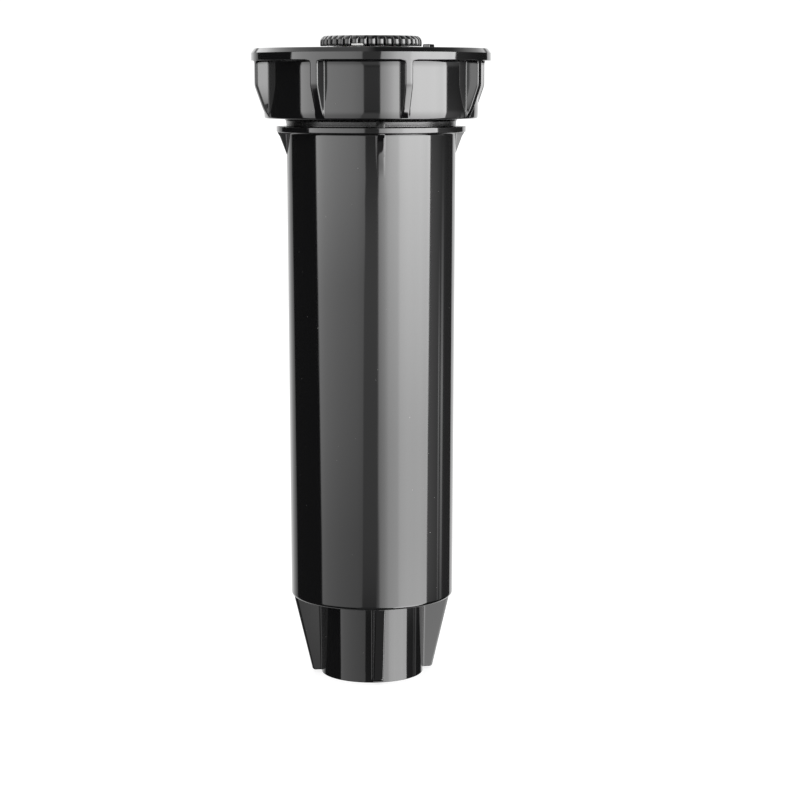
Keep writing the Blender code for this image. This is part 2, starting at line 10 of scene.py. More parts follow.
import bmesh
import bpy
import numpy as np
from mathutils import Matrix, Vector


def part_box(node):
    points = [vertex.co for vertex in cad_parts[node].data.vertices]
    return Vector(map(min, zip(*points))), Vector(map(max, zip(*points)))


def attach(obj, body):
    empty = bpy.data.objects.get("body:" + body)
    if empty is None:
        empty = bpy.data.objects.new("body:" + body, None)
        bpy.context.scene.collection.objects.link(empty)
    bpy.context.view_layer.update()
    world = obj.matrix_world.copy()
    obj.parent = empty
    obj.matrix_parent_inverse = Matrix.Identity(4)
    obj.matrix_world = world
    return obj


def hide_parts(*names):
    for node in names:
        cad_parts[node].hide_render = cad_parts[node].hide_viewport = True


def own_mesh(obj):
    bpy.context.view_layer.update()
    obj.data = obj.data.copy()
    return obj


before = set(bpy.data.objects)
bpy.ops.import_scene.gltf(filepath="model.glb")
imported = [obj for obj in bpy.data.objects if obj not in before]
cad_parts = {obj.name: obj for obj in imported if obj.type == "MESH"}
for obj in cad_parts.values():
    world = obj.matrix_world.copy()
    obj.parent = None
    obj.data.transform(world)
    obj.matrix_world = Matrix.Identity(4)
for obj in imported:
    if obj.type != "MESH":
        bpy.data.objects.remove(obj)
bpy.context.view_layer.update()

MM = 0.001
FULL_TURN = 2 * math.pi
GAP = 0.15
SIDES = 144


def span(node):
    """A node's largest radius, lowest height and highest height, in millimetres."""
    low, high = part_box(node)
    return max(high.x, -low.x, high.y, -low.y) / MM, low.z / MM, high.z / MM


CAP_R, CAP_LOW, CAP_MARK_TOP = span("cap")
CASE_R, CASE_LOW, CASE_RIM = span("case")
SEAL_R, SEAL_LOW, SEAL_TOP = span("wiper_seal")
BUSH_R, BUSH_LOW, BUSH_TOP = span("guide_bush")
SPRING_R, SPRING_LOW, SPRING_TOP = span("retract_spring")
RING_R, RING_LOW, RING_TOP = span("ratchet_ring")
FLANGE_R, STEM_LOW, STEM_TOP = span("riser_stem")
CARRIER_R, CARRIER_LOW, CARRIER_TOP = span("valve_carrier")
WASHER_R, WASHER_LOW, WASHER_TOP = span("valve_washer")
PIN_R, PIN_LOW, PIN_TOP = span("valve_screw")
GASKET_R, GASKET_LOW, GASKET_TOP = span("nozzle_gasket")
FILTER_R, FILTER_LOW, FILTER_TOP = span("filter_screen")
BASE_R, BASE_LOW, BASE_TOP = span("nozzle_base")
DISC_R, DISC_LOW, DISC_TOP = span("deflector")
COLLAR_R, COLLAR_LOW, COLLAR_TOP = span("arc_collar")
HEAD_R, SCREW_LOW, SCREW_TOP = span("adjust_screw")
CLIP_R, CLIP_LOW, CLIP_TOP = span("screw_clip")
PLUG_R, PLUG_LOW, PLUG_TOP = span("throttle_plug")

# The cap's main radii and heights, and the ribs round it.
LIP_LOW, LIP_HIGH = 148.9, 150.74
SKIRT_R = 25.55
CAP_HOLE_R, CAP_TOP = 14.5, 151.95
GRIP_COUNT, GRIP_START = 8, math.radians(11.65 - 90)
GRIP_R, GRIP_HALF, GRIP_CORNER, GRIP_FOOT = 28.53, 1.0, 143.1, 135.5
MARK_ANGLE = math.radians(-38)

# The case's shoulder, walls, foot ledge, fins, boss and gussets.
SHOULDER_TOP, SHOULDER_LOW = 133.5, 132.15
NECK_R, HEAD_WALL_R, FOOT_WALL_R = 20.35, 20.25, 19.75
LEDGE = 19.5
FIN_COUNT, FIN_HALF, FIN_TOP_R, FIN_FOOT_R, FIN_FOOT = 4, 1.2, 19.25, 14.95, 0.65
BOSS_R, BOSS_FOOT_R = 12.7, 12.55
GUSSET_HALF, GUSSET_R, GUSSET_FOOT, GUSSET_SLOPE = 0.82, 22.4, 128.0, 0.66
# A height between the fins and the gussets.
MID_BODY = 120.0

# Threads: middle radius, pitch, depth, lowest and highest point.
INLET_THREAD = (9.9, 1.814, 0.58, 1.2, 1.2 + 5.5 * 1.814)
CAP_THREAD = (21.55, 3.6, 0.6, 136.4, 146.3)
CAP_BORE_THREAD = (21.97, 3.6, 0.6, 136.4, 146.3)
STEM_THREAD = (7.6, 1.6, 0.3, 140.9, 144.9)
BASE_THREAD = (7.95, 1.6, 0.3, 140.9, 144.9)

# The collar's serration, index notch and stop, and the ratchet's face teeth.
TEETH, TOOTH_DEPTH = 36, 0.9
INDEX_ANGLE, INDEX_R, INDEX_TOP, INDEX_WIDTH = math.radians(-111.6), 11.95, 152.85, 2.9
STOP_ANGLE, STOP_START, STOP_WIDTH = math.radians(100), math.radians(15), 1.6
RATCHET_TEETH, RATCHET_HEIGHT = 16, 0.45


# ---------------------------------------------------------------- mesh tools


def evenly(count, start=0.0):
    """Angles spread evenly round the axis."""
    return start + np.arange(count) * FULL_TURN / count


def rounded(outline, steps=5):
    """The outline's points, with an arc at each corner that has a radius.

    One more point stands just past each end of an arc. Where two arcs don't fit on the stretch between them,
    both get smaller.
    """
    corners = np.array([point[:2] for point in outline], float)
    ahead = np.roll(corners, -1, axis=0) - corners
    length = np.linalg.norm(ahead, axis=1)
    ahead /= length[:, None]
    behind = -np.roll(ahead, 1, axis=0)
    half = np.arccos(np.clip((ahead * behind).sum(axis=1), -1, 1)) / 2
    reach = np.array([point[2] if len(point) > 2 else 0 for point in outline]) / np.tan(half)
    fit = np.minimum(1, 0.8 * length / np.maximum(reach + np.roll(reach, -1), 1e-9))
    reach *= np.minimum(fit, np.roll(fit, 1))

    made = []
    for here, back, on, turn, far in zip(corners, behind, ahead, half, reach):
        if far == 0:
            made.append(here)
            continue
        centre = here + (back + on) / np.linalg.norm(back + on) * far / math.cos(turn)
        first, last = here + back * far - centre, here + on * far - centre
        sweep = math.pi - 2 * turn
        made.append(here + back * far * 1.12)
        for share in np.linspace(0, 1, steps + 1):
            made.append(
                centre
                + (math.sin((1 - share) * sweep) * first + math.sin(share * sweep) * last) / math.sin(sweep)
            )
        made.append(here + on * far * 1.12)
    return np.array(made)


def divided(points, step, low, high):
    """The closed outline, with its long stretches between two heights cut into steps."""
    made = []
    for here, on in zip(points, np.roll(points, -1, axis=0)):
        inside = low - 0.01 <= min(here[1], on[1]) and max(here[1], on[1]) <= high + 0.01
        count = max(1, math.ceil(np.linalg.norm(on - here) / step)) if inside else 1
        made += [here + (on - here) * k / count for k in range(count)]
    return np.array(made)


def thread_rows(thread, start, end, per_pitch=12):
    """Points along the plain wall that a thread is then wound on."""
    radius, pitch = thread[:2]
    rows = round(abs(end - start) / pitch * per_pitch)
    return [(radius, start + (end - start) * i / rows) for i in range(rows + 1)]


def winding(*threads):
    """A shape that pushes each plain wall in and out along a right-hand helix, fading at both ends."""

    def shape(angle, radius, height):
        moved = radius.copy()
        for middle, pitch, depth, low, high in threads:
            fade = np.clip(np.minimum(height - low, high - height) * 2 / pitch, 0, 1)
            crest = np.clip(1.5 * np.cos(FULL_TURN * height / pitch - angle), -1, 1)
            wall = (abs(radius - middle) < 0.01) & (height > low - 0.01) & (height < high + 0.01)
            moved += np.where(wall, depth * fade * crest, 0)
        return moved, height

    return shape


def skin(name, grid, joined=True):
    """A mesh over grid[round the axis][along the outline], in millimetres. Points that meet are merged."""
    here = np.arange(grid.shape[0] * grid.shape[1]).reshape(grid.shape[:2])
    across, along = np.roll(here, -1, axis=0), np.roll(here, -1, axis=1)
    faces = np.stack([here, along, np.roll(across, -1, axis=1), across], axis=-1)
    if not joined:
        faces = faces[:, :-1]
    mesh = bpy.data.meshes.new(name)
    mesh.from_pydata((grid.reshape(-1, 3) * MM).tolist(), [], faces.reshape(-1, 4).tolist())
    made = bmesh.new()
    made.from_mesh(mesh)
    bmesh.ops.remove_doubles(made, verts=made.verts, dist=1e-7)
    made.to_mesh(mesh)
    made.free()
    obj = bpy.data.objects.new(name, mesh)
    bpy.context.scene.collection.objects.link(obj)
    return obj


def shaped(angle, radius, height, shape):
    """Points in space from turned ones, after the shape has moved them."""
    if shape:
        radius, height = shape(angle, radius, height)
    return np.stack([radius * np.cos(angle), radius * np.sin(angle), height], axis=-1)


def turned(name, outline, sides=SIDES, shape=None):
    """A turned solid. An outline that starts on the axis stays open there."""
    points = rounded(outline)
    angle, radius = np.meshgrid(evenly(sides), points[:, 0], indexing="ij")
    height = np.broadcast_to(points[:, 1], radius.shape)
    return skin(name, shaped(angle, radius, height, shape), outline[0][0] > 0)


def ribbed(name, points, crest, angles, edge, root, draft, rest, shape=None):
    """A turned skin with ribs. crest(r, z) gives a rib's radius, height and half width beside a base point.

    A rib has rounded front edges, sides that widen by the draft towards its root, and a fillet there. rest
    is how many steps reach halfway to the next rib.
    """
    base_r, base_z = points.T
    rib_r, rib_z, half = np.array([crest(r, z) for r, z in points]).T
    rise = np.maximum(rib_r - base_r, 1e-6)
    top, foot = np.minimum(edge / rise, 0.35), np.minimum(root / rise, 0.5)
    stations = [((half - edge) * share, np.ones_like(half)) for share in (0, 0.5, 1)]
    for turn in np.radians((22.5, 45, 67.5, 90)):
        stations.append((half - edge * (1 - math.sin(turn)), 1 - top * (1 - math.cos(turn))))
    for share in (0.08, 0.92):
        stations.append((half + draft * share, (1 - top) * (1 - share) + foot * share))
    for turn in np.radians((0, 18, 36, 54, 72, 90)):
        stations.append((half + draft + root * (1 - math.cos(turn)), foot * (1 - math.sin(turn))))
    stations.append((half + draft + root + 0.15, np.zeros_like(half)))

    across = np.array([u for u, _ in stations])
    share = np.array([v for _, v in stations])
    radial = np.sqrt(base_r**2 - across**2) + share * (rib_r - base_r)
    radius, angle = np.hypot(radial, across), np.arctan2(across, radial)
    height = base_z + share * (rib_z - base_z)
    sector = math.pi / len(angles)
    steps = np.arange(1, rest + 1)[:, None] / rest
    angle = np.vstack([angle, angle[-1] + (sector - angle[-1]) * steps])
    radius = np.vstack([radius, np.repeat(base_r[None], rest, axis=0)])
    height = np.vstack([height, np.repeat(base_z[None], rest, axis=0)])

    angle = np.vstack([-angle[:0:-1], angle[:-1]])
    radius = np.vstack([radius[:0:-1], radius[:-1]])
    height = np.vstack([height[:0:-1], height[:-1]])
    around = np.vstack([angle + start for start in angles])
    copies = (len(angles), 1)
    return skin(name, shaped(around, np.tile(radius, copies), np.tile(height, copies), shape))


def block(r_low, r_high, z_low, z_high, width, angles, bevel=0.0):
    """Boxes that stand at each angle round the axis, as one mesh object, for cutting or joining."""
    made = bmesh.new()
    size = Matrix.Diagonal(((r_high - r_low) * MM, width * MM, (z_high - z_low) * MM, 1))
    place = Matrix.Translation(((r_high + r_low) / 2 * MM, 0, (z_high + z_low) / 2 * MM))
    for angle in angles:
        bmesh.ops.create_cube(made, size=1, matrix=Matrix.Rotation(angle, 4, "Z") @ place @ size)
    if bevel:
        bmesh.ops.bevel(made, geom=made.edges[:], offset=bevel * MM, segments=3, profile=0.5, affect="EDGES")
    mesh = bpy.data.meshes.new("block")
    made.to_mesh(mesh)
    made.free()
    obj = bpy.data.objects.new("block", mesh)
    bpy.context.scene.collection.objects.link(obj)
    return obj


def combined(obj, tool, operation):
    """Joins a shape to the piece or cuts it out, and leaves plain mesh."""
    step = obj.modifiers.new("combine", "BOOLEAN")
    step.operation, step.solver, step.object = operation, "EXACT", tool
    bpy.context.view_layer.update()
    mesh = bpy.data.meshes.new_from_object(obj.evaluated_get(bpy.context.evaluated_depsgraph_get()))
    obj.modifiers.clear()
    obj.data = mesh
    bpy.data.objects.remove(tool)
    return obj


def swept(name, path, wire_r, sides=16):
    """A round wire along a path of points, in millimetres, with flat ends."""
    path = np.array(path)
    ahead = np.gradient(path, axis=0)
    ahead /= np.linalg.norm(ahead, axis=1)[:, None]
    out = path * (1, 1, 0)
    out /= np.linalg.norm(out, axis=1)[:, None]
    up = np.cross(ahead, out)
    turn = evenly(sides)[:, None, None]
    grid = path + wire_r * (np.cos(turn) * out + np.sin(turn) * up)
    ends = np.repeat(path[None, [0]], sides, axis=0), np.repeat(path[None, [-1]], sides, axis=0)
    return skin(name, np.concatenate([ends[0], grid, ends[1]], axis=1), joined=False)


# ---------------------------------------------------------------- materials


class Finish:
    """A material whose patterns are laid out in millimetres on the piece."""

    def __init__(self, name, colour, roughness, metallic=0.0):
        self.material = bpy.data.materials.new(name)
        self.material.use_nodes = True
        self.nodes, self.links = self.material.node_tree.nodes, self.material.node_tree.links
        self.shader = self.nodes["Principled BSDF"]
        self.shader.inputs["Base Color"].default_value = (*colour, 1)
        self.shader.inputs["Roughness"].default_value = roughness
        self.shader.inputs["Metallic"].default_value = metallic
        self.place = self.nodes.new("ShaderNodeTexCoord").outputs["Object"]

    def noise(self, size, detail=2.0):
        """Noise with patches of about this size, in millimetres, along X, Y and Z."""
        scale = self.nodes.new("ShaderNodeMapping")
        scale.inputs["Scale"].default_value = [1 / (s * MM) for s in size]
        self.links.new(self.place, scale.inputs["Vector"])
        noise = self.nodes.new("ShaderNodeTexNoise")
        noise.inputs["Scale"].default_value = 1.0
        noise.inputs["Detail"].default_value = detail
        self.links.new(scale.outputs["Vector"], noise.inputs["Vector"])
        return noise.outputs["Fac"]

    def height(self):
        """The height above the ground, in metres."""
        split = self.nodes.new("ShaderNodeSeparateXYZ")
        self.links.new(self.place, split.inputs["Vector"])
        return split.outputs["Z"]

    def ranged(self, source, low, high, to_low, to_high):
        step = self.nodes.new("ShaderNodeMapRange")
        step.inputs["From Min"].default_value, step.inputs["From Max"].default_value = low, high
        step.inputs["To Min"].default_value, step.inputs["To Max"].default_value = to_low, to_high
        self.links.new(source, step.inputs["Value"])
        return step.outputs["Result"]

    def sum(self, first, second, operation="ADD"):
        step = self.nodes.new("ShaderNodeMath")
        step.operation = operation
        self.links.new(first, step.inputs[0])
        if isinstance(second, float):
            step.inputs[1].default_value = second
        else:
            self.links.new(second, step.inputs[1])
        return step.outputs[0]

    def notch_light_mask(self):
        """One on the raised pad in the collar's index notch, where white is painted as light, and zero
        elsewhere.
        """
        turn = self.nodes.new("ShaderNodeMapping")
        turn.inputs["Rotation"].default_value = (0, 0, -INDEX_ANGLE)
        self.links.new(self.place, turn.inputs["Vector"])
        split = self.nodes.new("ShaderNodeSeparateXYZ")
        self.links.new(turn.outputs["Vector"], split.inputs["Vector"])
        aside = self.sum(split.outputs["Y"], split.outputs["Y"], "MULTIPLY")
        half, top = INDEX_WIDTH / 2 * MM + 5e-5, INDEX_TOP * MM + 2e-5
        inside = self.sum(
            self.ranged(aside, half**2, half**2 + 1e-9, 1.0, 0.0),
            self.ranged(split.outputs["Z"], top, top + 1e-5, 1.0, 0.0),
            "MULTIPLY",
        )
        outer = self.ranged(split.outputs["X"], 11.3 * MM, 11.35 * MM, 0.0, 1.0)
        return self.sum(inside, outer, "MULTIPLY")

    def blend(self, share, first, second):
        """A mix from the first colour, or the pattern's colour, to the second."""
        step = self.nodes.new("ShaderNodeMix")
        step.data_type = "RGBA"
        if isinstance(first, tuple):
            step.inputs["A"].default_value = (*first, 1)
        else:
            self.links.new(first, step.inputs["A"])
        step.inputs["B"].default_value = (*second, 1)
        self.links.new(share, step.inputs["Factor"])
        return step.outputs["Result"]

    def set(self, name, source):
        self.links.new(source, self.shader.inputs[name])

    def bump(self, source, height, strength=1.0):
        """Raises the surface by the pattern, whose full range stands for this height in millimetres."""
        step = self.nodes.new("ShaderNodeBump")
        step.inputs["Distance"].default_value = height * MM
        step.inputs["Strength"].default_value = strength
        self.links.new(source, step.inputs["Height"])
        self.links.new(step.outputs["Normal"], self.shader.inputs["Normal"])


def black_plastic(name, colour, roughness, peel, neck=None, notch_light=False):
    """Glossy moulded plastic: faint flow marks, fine vertical draw lines, and a few dust specks.

    neck is a pair of heights under the cap between which the surface is duller, bumpier and flecked with grey
    grit: painted shade, standing in for the cap's shade on the neck. With the last argument set, the pad in
    the collar's notch is painted white: painted light, as bright as light seen through the notch.
    """
    finish = Finish(name, colour, roughness)
    cloud = finish.noise((9, 9, 14))
    draw = finish.noise((0.45, 0.45, 60))
    grain = finish.noise((1.6, 1.6, 2.4), detail=3.0)
    speck = finish.ranged(finish.noise((0.45, 0.45, 0.45), detail=0.0), 0.9, 0.915, 0.0, 1.0)
    flow = finish.ranged(cloud, 0.3, 0.7, roughness * 0.8, roughness * 1.25)
    rough = finish.sum(flow, finish.ranged(speck, 0.0, 1.0, 0.0, 0.3))
    relief = finish.sum(finish.sum(grain, 0.6, "MULTIPLY"), finish.sum(draw, 0.4, "MULTIPLY"))
    dust_and_neck_shade = speck
    # Painted shade: a band under the cap, duller, bumpier and flecked with grey grit, stands in for the cap's
    # shade on the neck.
    if neck:
        low, high = (z * MM for z in neck)
        height = finish.height()
        neck_shade_band = finish.sum(
            finish.ranged(height, low - 0.0003, low, 0.0, 1.0),
            finish.ranged(height, high, high + 0.0003, 1.0, 0.0),
            "MULTIPLY",
        )
        grit = finish.noise((0.35, 0.35, 0.35), detail=4.0)
        rough = finish.sum(rough, finish.sum(neck_shade_band, 0.2, "MULTIPLY"))
        relief = finish.sum(relief, finish.sum(finish.sum(neck_shade_band, grit, "MULTIPLY"), 3.0, "MULTIPLY"))
        neck_grit_shade = finish.sum(neck_shade_band, finish.ranged(grit, 0.55, 0.75, 0.0, 0.35), "MULTIPLY")
        dust_and_neck_shade = finish.sum(speck, neck_grit_shade, "MAXIMUM")
    finish.set("Roughness", rough)
    # Real dust specks, plus the neck's painted shade where there is a neck band.
    shade = finish.blend(dust_and_neck_shade, colour, (0.16, 0.155, 0.15))
    # Painted light: the pad in the collar's notch is painted white, as bright as light seen through the notch.
    if notch_light:
        shade = finish.blend(finish.notch_light_mask(), shade, (0.9, 0.9, 0.88))
    finish.set("Base Color", shade)
    finish.bump(relief, peel)
    return finish.material


def pale_plastic(name, colour, roughness):
    """Slightly cloudy natural acetal with fine turning lines."""
    finish = Finish(name, colour, roughness)
    cloud = finish.noise((3, 3, 3), detail=3.0)
    lines = finish.noise((6, 6, 0.12), detail=1.0)
    worn = tuple(c * 0.82 for c in colour)
    finish.set("Base Color", finish.blend(finish.ranged(cloud, 0.35, 0.75, 0.0, 1.0), colour, worn))
    finish.set("Roughness", finish.ranged(cloud, 0.3, 0.7, roughness * 0.85, roughness * 1.2))
    finish.shader.inputs["Subsurface Weight"].default_value = 0.1
    finish.shader.inputs["Subsurface Scale"].default_value = 0.6 * MM
    finish.bump(finish.sum(cloud, lines), 0.004)
    return finish.material


def rubber(name, colour, roughness):
    """Matt rubber with a fine grain and a little bloom."""
    finish = Finish(name, colour, roughness)
    grain = finish.noise((0.18, 0.18, 0.18), detail=3.0)
    bloom = finish.noise((2.5, 2.5, 1.5), detail=4.0)
    pale = tuple(c * 2.2 for c in colour)
    finish.set("Base Color", finish.blend(finish.ranged(bloom, 0.4, 0.75, 0.0, 1.0), colour, pale))
    finish.set("Roughness", finish.ranged(grain, 0.3, 0.7, roughness * 0.9, min(1.0, roughness * 1.15)))
    finish.bump(grain, 0.012)
    return finish.material


def drawn_steel(name, colour, roughness):
    """Bright stainless with fine drawing marks."""
    finish = Finish(name, colour, roughness, metallic=1.0)
    marks = finish.noise((0.9, 0.9, 0.05), detail=2.0)
    stain = finish.noise((1.5, 1.5, 1.5), detail=3.0)
    dull = tuple(c * 0.8 for c in colour)
    finish.set("Base Color", finish.blend(finish.ranged(stain, 0.4, 0.8, 0.0, 1.0), colour, dull))
    finish.set("Roughness", finish.ranged(marks, 0.3, 0.7, roughness * 0.7, roughness * 1.4))
    finish.bump(marks, 0.003)
    return finish.material


BLACK = (0.0045, 0.0045, 0.0048)
FINISHES = {
    # The case's neck under the cap gets the band of painted shade.
    "case_plastic": black_plastic("case_plastic", BLACK, 0.06, 0.0009, neck=(SHOULDER_TOP + 0.05, 136.6)),
    "cap_plastic": black_plastic("cap_plastic", BLACK, 0.055, 0.0009),
    # The nozzle plastic paints the pad in the collar's notch white: painted light.
    "nozzle_plastic": black_plastic("nozzle_plastic", (0.0055, 0.0055, 0.0058), 0.11, 0.003, notch_light=True),
    "stem_plastic": black_plastic("stem_plastic", BLACK, 0.1, 0.0009),
    "nozzle_base_plastic": pale_plastic("nozzle_base_plastic", (0.56, 0.56, 0.55), 0.35),
    "pale_acetal": pale_plastic("pale_acetal", (0.72, 0.71, 0.68), 0.35),
    "seal_rubber": rubber("seal_rubber", (0.016, 0.016, 0.016), 0.62),
    "stainless": drawn_steel("stainless", (0.62, 0.61, 0.6), 0.25),
}


def dress(piece, node, body, slot, sharp=32):
    """Shades a piece, gives it its finish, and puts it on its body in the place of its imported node."""
    piece.data.materials.clear()
    piece.data.materials.append(FINISHES[slot])
    piece.data.shade_smooth()
    piece.data.set_sharp_from_angle(angle=math.radians(sharp))
    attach(piece, body)
    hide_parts(node)
    return piece


# ---------------------------------------------------------------- the fixed housing


def case_rib(r, z):
    """The gussets under the shoulder ring and the tapered fins round the inlet boss."""
    if z > MID_BODY:
        sink = 0.2
        under = z - sink * (GUSSET_R - r)
        crest = GUSSET_R - (SHOULDER_LOW - sink - under) * GUSSET_SLOPE
        if r > GUSSET_R or z > SHOULDER_LOW + 0.001 or r < HEAD_WALL_R - 1 or crest <= r:
            return r, z, GUSSET_HALF
        return min(crest, GUSSET_R), under, GUSSET_HALF
    if r < BOSS_FOOT_R - 0.01 or r > FIN_TOP_R or not FIN_FOOT < z < LEDGE + 0.001:
        return r, z, FIN_HALF
    bend, turn_high, turn_low = 0.8, 1.6, 0.6
    over = z - FIN_FOOT
    if over > turn_high:
        under = z - (turn_high - bend) * (FIN_TOP_R - r) / (FIN_TOP_R - BOSS_FOOT_R)
        share = (under - FIN_FOOT - bend) / (LEDGE - FIN_FOOT - bend)
        return max(r, FIN_FOOT_R + (FIN_TOP_R - FIN_FOOT_R) * share), under, FIN_HALF
    centre = FIN_FOOT_R - bend
    if over > turn_low:
        turn = math.pi / 2 * (turn_high - over) / (turn_high - turn_low)
        return centre + bend * math.cos(turn), FIN_FOOT + bend * (1 - math.sin(turn)), FIN_HALF
    return r + (centre - r) * over / turn_low, FIN_FOOT, FIN_HALF


def stop_ramp():
    """The cap's stop on the neck: a ramp that rises to the right and ends in a steep face."""
    plan = [(19.8, -1.2), (20.5, -1.05), (22.3, 0.5), (22.4, 0.7), (22.3, 0.85), (19.8, 0.95)]
    ends = [(across, -radius) for radius, across in plan]
    heights = SHOULDER_TOP - 0.6, SHOULDER_TOP + 1.5
    bottom, top = [[(x * MM, y * MM, z * MM) for x, y in ends] for z in heights]
    count = len(plan)
    faces = [list(range(count))[::-1], list(range(count, 2 * count))]
    faces += [[i, (i + 1) % count, (i + 1) % count + count, i + count] for i in range(count)]
    mesh = bpy.data.meshes.new("stop_ramp")
    mesh.from_pydata(bottom + top, [], faces)
    made = bmesh.new()
    made.from_mesh(mesh)
    bmesh.ops.recalc_face_normals(made, faces=made.faces)
    bmesh.ops.bevel(made, geom=made.edges[:], offset=0.08 * MM, segments=2, profile=0.5, affect="EDGES")
    made.to_mesh(mesh)
    made.free()
    obj = bpy.data.objects.new("stop_ramp", mesh)
    bpy.context.scene.collection.objects.link(obj)
    return obj


def make_case():
    """The moulded case: cap thread, neck, shoulder ring, tapered tube, boss with fins, and inlet thread."""
    inlet_top = INLET_THREAD[4]
    outline = [(19.0, CASE_RIM, 0.1), (20.6, CASE_RIM, 0.1), (20.95, 146.65)]
    outline += thread_rows(CAP_THREAD, 146.3, 136.4)
    outline += [
        (21.1, 135.9, 0.15),
        (NECK_R, 134.8, 0.3),
        (NECK_R - 0.16, SHOULDER_TOP, 0.25),
        (CASE_R, SHOULDER_TOP, 0.14),
        (CASE_R, SHOULDER_LOW, 0.22),
        (HEAD_WALL_R, SHOULDER_LOW, 0.5),
        (FOOT_WALL_R, LEDGE, 0.8),
        (BOSS_R, LEDGE, 0.3),
        (BOSS_FOOT_R, FIN_FOOT + 1.8),
        (BOSS_FOOT_R, FIN_FOOT - 0.1),
        (BOSS_FOOT_R, CASE_LOW, 0.15),
        (10.95, CASE_LOW, 0.1),
        (INLET_THREAD[0], 1.0),
    ]
    outline += thread_rows(INLET_THREAD, 1.2, inlet_top)
    outline += [
        (10.45, inlet_top + 0.4),
        (10.45, 13.2, 0.3),
        (6.5, 13.2, 0.2),
        (6.5, 15.4, 0.2),
        (7.6, 15.4),
        (7.9, 15.0),
        (10.3, 15.0, 0.2),
        (10.3, 21.3, 0.3),
        (FOOT_WALL_R - 1.8, 21.3, 0.4),
        (HEAD_WALL_R - 1.95, 138.3, 0.1),
        (19.0, 138.3, 0.2),
    ]
    points = divided(rounded(outline), 0.3, GUSSET_FOOT - 0.8, SHOULDER_LOW)
    points = divided(points, 0.08, FIN_FOOT - 0.2, FIN_FOOT + 1.81)
    points = divided(points, 0.6, FIN_FOOT + 1.7, LEDGE)
    points = divided(points, 5.0, LEDGE, SHOULDER_LOW)
    case = ribbed(
        "moulded_case",
        points,
        case_rib,
        evenly(FIN_COUNT),
        edge=0.22,
        root=0.3,
        draft=0.04,
        rest=17,
        shape=winding(CAP_THREAD, INLET_THREAD),
    )
    combined(case, stop_ramp(), "UNION")
    keys = block(16.5, 19.0, 23.5, 127.5, 1.6, evenly(4, math.pi / 4), bevel=0.2)
    combined(case, keys, "UNION")
    return dress(case, "case", "case_body", "case_plastic")


def cap_rib(r, z):
    """The grip ribs: flush with the lip, upright, then sloping in, with a steeper end at the skirt's foot."""
    if r < SKIRT_R - 0.45 or z > LIP_LOW + 0.2 or z < GRIP_FOOT:
        return r, z, GRIP_HALF
    sink = 0.12 * min(1.0, (z - GRIP_FOOT) / 3)
    under = min(z, LIP_LOW) - sink * max(0.0, GRIP_R - r)
    bend_r, bend_z = SKIRT_R + 0.95, 137.5
    slope = (GRIP_R - bend_r) / (GRIP_CORNER - bend_z)
    crest = GRIP_R
    for sloped in (
        bend_r + (under - bend_z) * slope,
        SKIRT_R - 0.2 + (under - GRIP_FOOT) * (bend_r - SKIRT_R + 0.2) / (bend_z - GRIP_FOOT),
    ):
        crest = (crest + sloped - math.hypot(crest - sloped, 0.12)) / 2
    flare = max(0.0, 1 - (LIP_LOW - under) / 0.9)
    return max(crest, r), under, GRIP_HALF + 0.9 * (1 - math.sqrt(1 - flare**2))


def make_cap():
    """The screw cap: domed top, thick lip, ribbed skirt, thread, and the ring that holds the seal down."""
    outline = [
        (CAP_HOLE_R, CAP_TOP, 0.3),
        (27.8, CAP_TOP - 0.14, 0.15),
        (CAP_R, LIP_HIGH, 0.1),
        (CAP_R, LIP_LOW, 0.2),
        (SKIRT_R, LIP_LOW, 0.45),
        (SKIRT_R, CAP_LOW, 0.35),
        (22.95, CAP_LOW, 0.2),
    ]
    outline += thread_rows(CAP_BORE_THREAD, 136.4, 146.3)
    outline += [
        (22.9, 146.8),
        (22.9, 149.2, 0.3),
        (16.6, 149.2, 0.3),
        (16.6, 142.75, 0.15),
        (15.2, 142.75, 0.15),
        (15.2, 149.2, 0.1),
        (CAP_HOLE_R, 149.2, 0.1),
    ]
    points = divided(rounded(outline, steps=6), 0.36, GRIP_FOOT - 0.7, LIP_LOW)
    skirt = (points[:, 0] > SKIRT_R - 0.4) & (points[:, 0] < SKIRT_R + 0.6) & (points[:, 1] < LIP_LOW + 0.01)
    flare = np.clip((points[:, 1] - LIP_LOW + 1.7) / 1.7, 0, 1) ** 2
    tuck = np.clip((CAP_LOW + 2.0 - points[:, 1]) / 2.0, 0, 1) ** 2
    points[:, 0] += np.where(skirt, 0.12 * flare - 0.13 * tuck, 0)
    cap = ribbed(
        "screw_cap",
        points,
        cap_rib,
        evenly(GRIP_COUNT, GRIP_START),
        edge=0.36,
        root=0.2,
        draft=0.16,
        rest=8,
        shape=winding(CAP_BORE_THREAD),
    )
    mark = block(15.0, 16.8, 151.0, CAP_MARK_TOP, 2.5, [MARK_ANGLE], bevel=0.25)
    combined(cap, mark, "UNION")
    return dress(cap, "cap", "case_body", "cap_plastic")


def make_wiper_seal():
    outline = [
        (14.2, SEAL_TOP, 0.2),
        (14.2, 142.6, 0.1),
        (SEAL_R, 142.6, 0.3),
        (SEAL_R, SEAL_LOW, 0.3),
        (9.6, SEAL_LOW, 0.1),
        (9.25, 141.75, 0.15),
        (9.6, 142.6, 0.3),
        (12.8, 142.6, 0.3),
        (12.8, 150.5, 0.3),
        (9.9, 150.5, 0.15),
        (9.9, SEAL_TOP, 0.2),
    ]
    return dress(turned("seal_ring", outline), "wiper_seal", "case_body", "seal_rubber")


def o_ring(name, outer_r, low, high, count=12):
    """An O-ring that fills its packed box, from its outer radius and its lowest and highest points."""
    wire = (high - low) / 2
    middle, z = outer_r - wire, (high + low) / 2
    turn = evenly(count * 2)
    outline = [(middle + wire * math.cos(a), z - wire * math.sin(a)) for a in turn]
    return turned(name, outline, 96)


